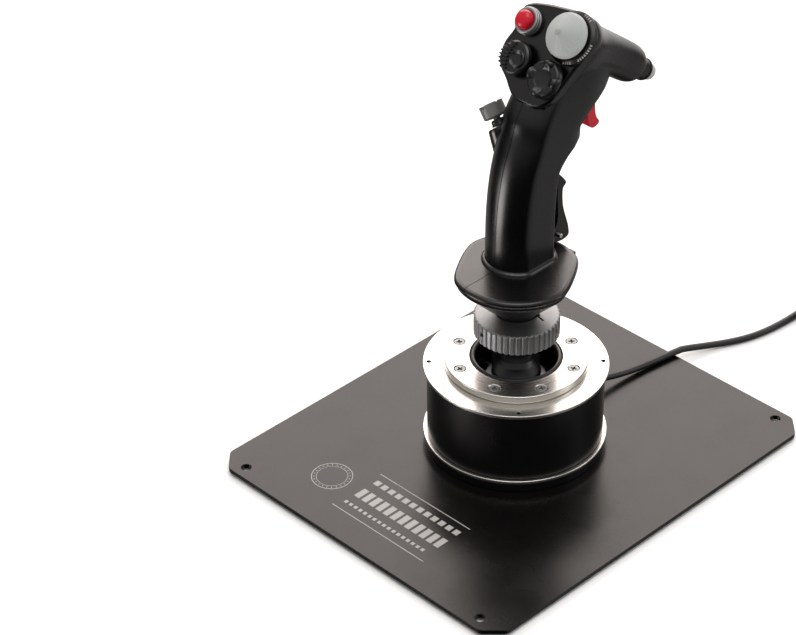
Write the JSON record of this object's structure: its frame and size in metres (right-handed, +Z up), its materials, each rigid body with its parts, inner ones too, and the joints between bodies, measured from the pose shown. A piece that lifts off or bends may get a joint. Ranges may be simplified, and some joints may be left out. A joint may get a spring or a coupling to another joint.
{
  "type": "flight joystick",
  "caption": "Desktop flight joystick: a hand grip with trigger, buttons and hat switches, screwed to a round gimbal base that stands on a flat plate.",
  "frame": {"origin": "centre of the base plate's footprint, on the surface that it stands on", "axes": "+Z up, +Y forward (away from the pilot), +X to the pilot's right"},
  "size_m": [0.2452, 0.4561, 0.3042],
  "materials": {
    "black_plate": "satin powder coat",
    "bright_metal": "turned and brushed",
    "grey_metal": "fine bead blast",
    "dark_steel": "oiled steel",
    "brass": "turned",
    "grip_black": "satin gloss moulding",
    "black_metal": "satin black anodise",
    "black_plastic": "fine moulded grain",
    "grey_plastic": "fine moulded grain",
    "dark_grey_plastic": "fine moulded grain",
    "red_plastic": "satin gloss",
    "rubber": "matte",
    "circuit_board": "solder mask"
  },
  "bodies": {
    "root": {"base_plate": "black_plate", "rubber_foot_1": "rubber", "rubber_foot_2": "rubber", "rubber_foot_3": "rubber", "rubber_foot_4": "rubber", "bottom_flange": "black_metal", "lower_ring": "bright_metal", "base_housing": "black_metal", "top_ring": "bright_metal", "gimbal_cover": "bright_metal", "cover_screw_1": "grey_metal", "cover_screw_2": "grey_metal", "cover_screw_3": "grey_metal", "cover_screw_4": "grey_metal", "cover_screw_5": "grey_metal", "cover_screw_6": "grey_metal", "cover_screw_7": "grey_metal", "cover_screw_8": "grey_metal", "boot_bezel": "black_plastic", "gimbal_tube": "black_plastic", "main_spring": "dark_steel", "sensor_board": "circuit_board", "main_board": "circuit_board", "strain_relief": "rubber", "cable": "rubber", "cable_coil": "rubber", "usb_plug_body": "rubber", "usb_plug_shell": "bright_metal"},
    "stick": {"pivot_ball": "brass", "stick_shaft": "dark_steel", "sensor_magnet": "grey_metal", "pivot_cover": "black_plastic", "shaft_head": "grey_metal", "grip_connector": "bright_metal", "grip_collar": "black_metal", "grip_left": "grip_black", "grip_right": "grip_black", "head_cover": "grip_black", "trim_ring": "black_plastic", "fire_collar": "grey_metal", "nose_collar": "black_plastic", "head_screw": "dark_steel", "grip_board": "circuit_board", "trigger_pin": "dark_steel", "lever_pin": "bright_metal"},
    "gimbal_ring": {"gimbal_ring": "dark_steel"},
    "spring_plate": {"spring_plate": "grey_plastic"},
    "collar_nut": {"collar_nut": "grey_metal"},
    "trigger": {"trigger": "red_plastic"},
    "paddle_lever": {"paddle_lever": "black_metal"},
    "fire_button": {"fire_button": "red_plastic"},
    "nose_button": {"nose_button": "grey_plastic"},
    "trim_rocker": {"trim_rocker": "dark_grey_plastic"},
    "trim_hat": {"trim_hat": "grey_plastic"},
    "left_rocker": {"left_rocker": "dark_grey_plastic"},
    "left_hat": {"left_hat": "black_plastic"},
    "lower_rocker": {"lower_rocker": "dark_grey_plastic"},
    "lower_hat": {"lower_hat": "black_plastic"},
    "side_rocker": {"side_rocker": "dark_grey_plastic"},
    "side_hat": {"side_hat": "dark_grey_plastic"}
  },
  "joints": [
    {"name": "stick_pitch", "type": "hinge", "parent": "root", "child": "gimbal_ring", "pos_m": [-0.0044, 0.0056, 0.05], "axis": [1, 0, 0], "range_deg": [-18, 18], "stiffness_Nm_per_rad": 6},
    {"name": "stick_roll", "type": "hinge", "parent": "gimbal_ring", "child": "stick", "pos_m": [-0.0044, 0.0056, 0.05], "axis": [0, 1, 0], "range_deg": [-18, 18], "stiffness_Nm_per_rad": 6},
    {"name": "spring_plate_slide", "type": "slide", "parent": "root", "child": "spring_plate", "axis": [0, 0, 1], "range_m": [-0.004, 0], "stiffness_N_per_m": 2000, "springref_m": 0.008, "deforming": ["main_spring"]},
    {"name": "nut_turn", "type": "hinge", "parent": "stick", "child": "collar_nut", "pos_m": [-0.0044, 0.0056, 0.0957], "axis": [0, 0, 1], "range_deg": [-180, 180]},
    {"name": "trigger_pull", "type": "hinge", "parent": "stick", "child": "trigger", "pos_m": [-0.0094, 0.0701, 0.234], "axis": [-1, 0, 0], "range_deg": [0, 11], "stiffness_Nm_per_rad": 0.5, "springref_deg": -5.73},
    {"name": "paddle_pull", "type": "hinge", "parent": "stick", "child": "paddle_lever", "pos_m": [-0.0094, 0.0386, 0.146], "axis": [1, 0, 0], "range_deg": [0, 6], "stiffness_Nm_per_rad": 1, "springref_deg": -5.73},
    {"name": "fire_press", "type": "slide", "parent": "stick", "child": "fire_button", "axis": [0, 0.809, -0.5878], "range_m": [0, 0.0025], "stiffness_N_per_m": 600, "springref_m": -0.002},
    {"name": "nose_press", "type": "slide", "parent": "stick", "child": "nose_button", "axis": [0, -0.809, 0.5878], "range_m": [0, 0.0015], "stiffness_N_per_m": 600, "springref_m": -0.002},
    {"name": "trim_hat_tilt", "type": "hinge", "parent": "stick", "child": "trim_rocker", "pos_m": [0.007, 0.0444, 0.28315], "axis": [1, 0, 0], "range_deg": [-6, 6], "stiffness_Nm_per_rad": 0.3},
    {"name": "trim_hat_sway", "type": "hinge", "parent": "trim_rocker", "child": "trim_hat", "pos_m": [0.007, 0.0444, 0.28315], "axis": [0, 0.5878, 0.809], "range_deg": [-6, 6], "stiffness_Nm_per_rad": 0.3},
    {"name": "left_hat_tilt", "type": "hinge", "parent": "stick", "child": "left_rocker", "pos_m": [-0.0224, 0.03, 0.26333], "axis": [1, 0, 0], "range_deg": [-6, 6], "stiffness_Nm_per_rad": 0.3},
    {"name": "left_hat_sway", "type": "hinge", "parent": "left_rocker", "child": "left_hat", "pos_m": [-0.0224, 0.03, 0.26333], "axis": [0, 0.5878, 0.809], "range_deg": [-6, 6], "stiffness_Nm_per_rad": 0.3},
    {"name": "lower_hat_tilt", "type": "hinge", "parent": "stick", "child": "lower_rocker", "pos_m": [0.0036, 0.02753, 0.25994], "axis": [1, 0, 0], "range_deg": [-6, 6], "stiffness_Nm_per_rad": 0.3},
    {"name": "lower_hat_sway", "type": "hinge", "parent": "lower_rocker", "child": "lower_hat", "pos_m": [0.0036, 0.02753, 0.25994], "axis": [0, 0.5878, 0.809], "range_deg": [-6, 6], "stiffness_Nm_per_rad": 0.3},
    {"name": "side_hat_tilt", "type": "hinge", "parent": "stick", "child": "side_rocker", "pos_m": [-0.02752, 0.0154, 0.21877], "axis": [0.7507, 0, 0.6606], "range_deg": [-6, 6], "stiffness_Nm_per_rad": 0.3},
    {"name": "side_hat_sway", "type": "hinge", "parent": "side_rocker", "child": "side_hat", "pos_m": [-0.02752, 0.0154, 0.21877], "axis": [0.0527, 0.9968, -0.0599], "range_deg": [-6, 6], "stiffness_Nm_per_rad": 0.3}
  ]
}
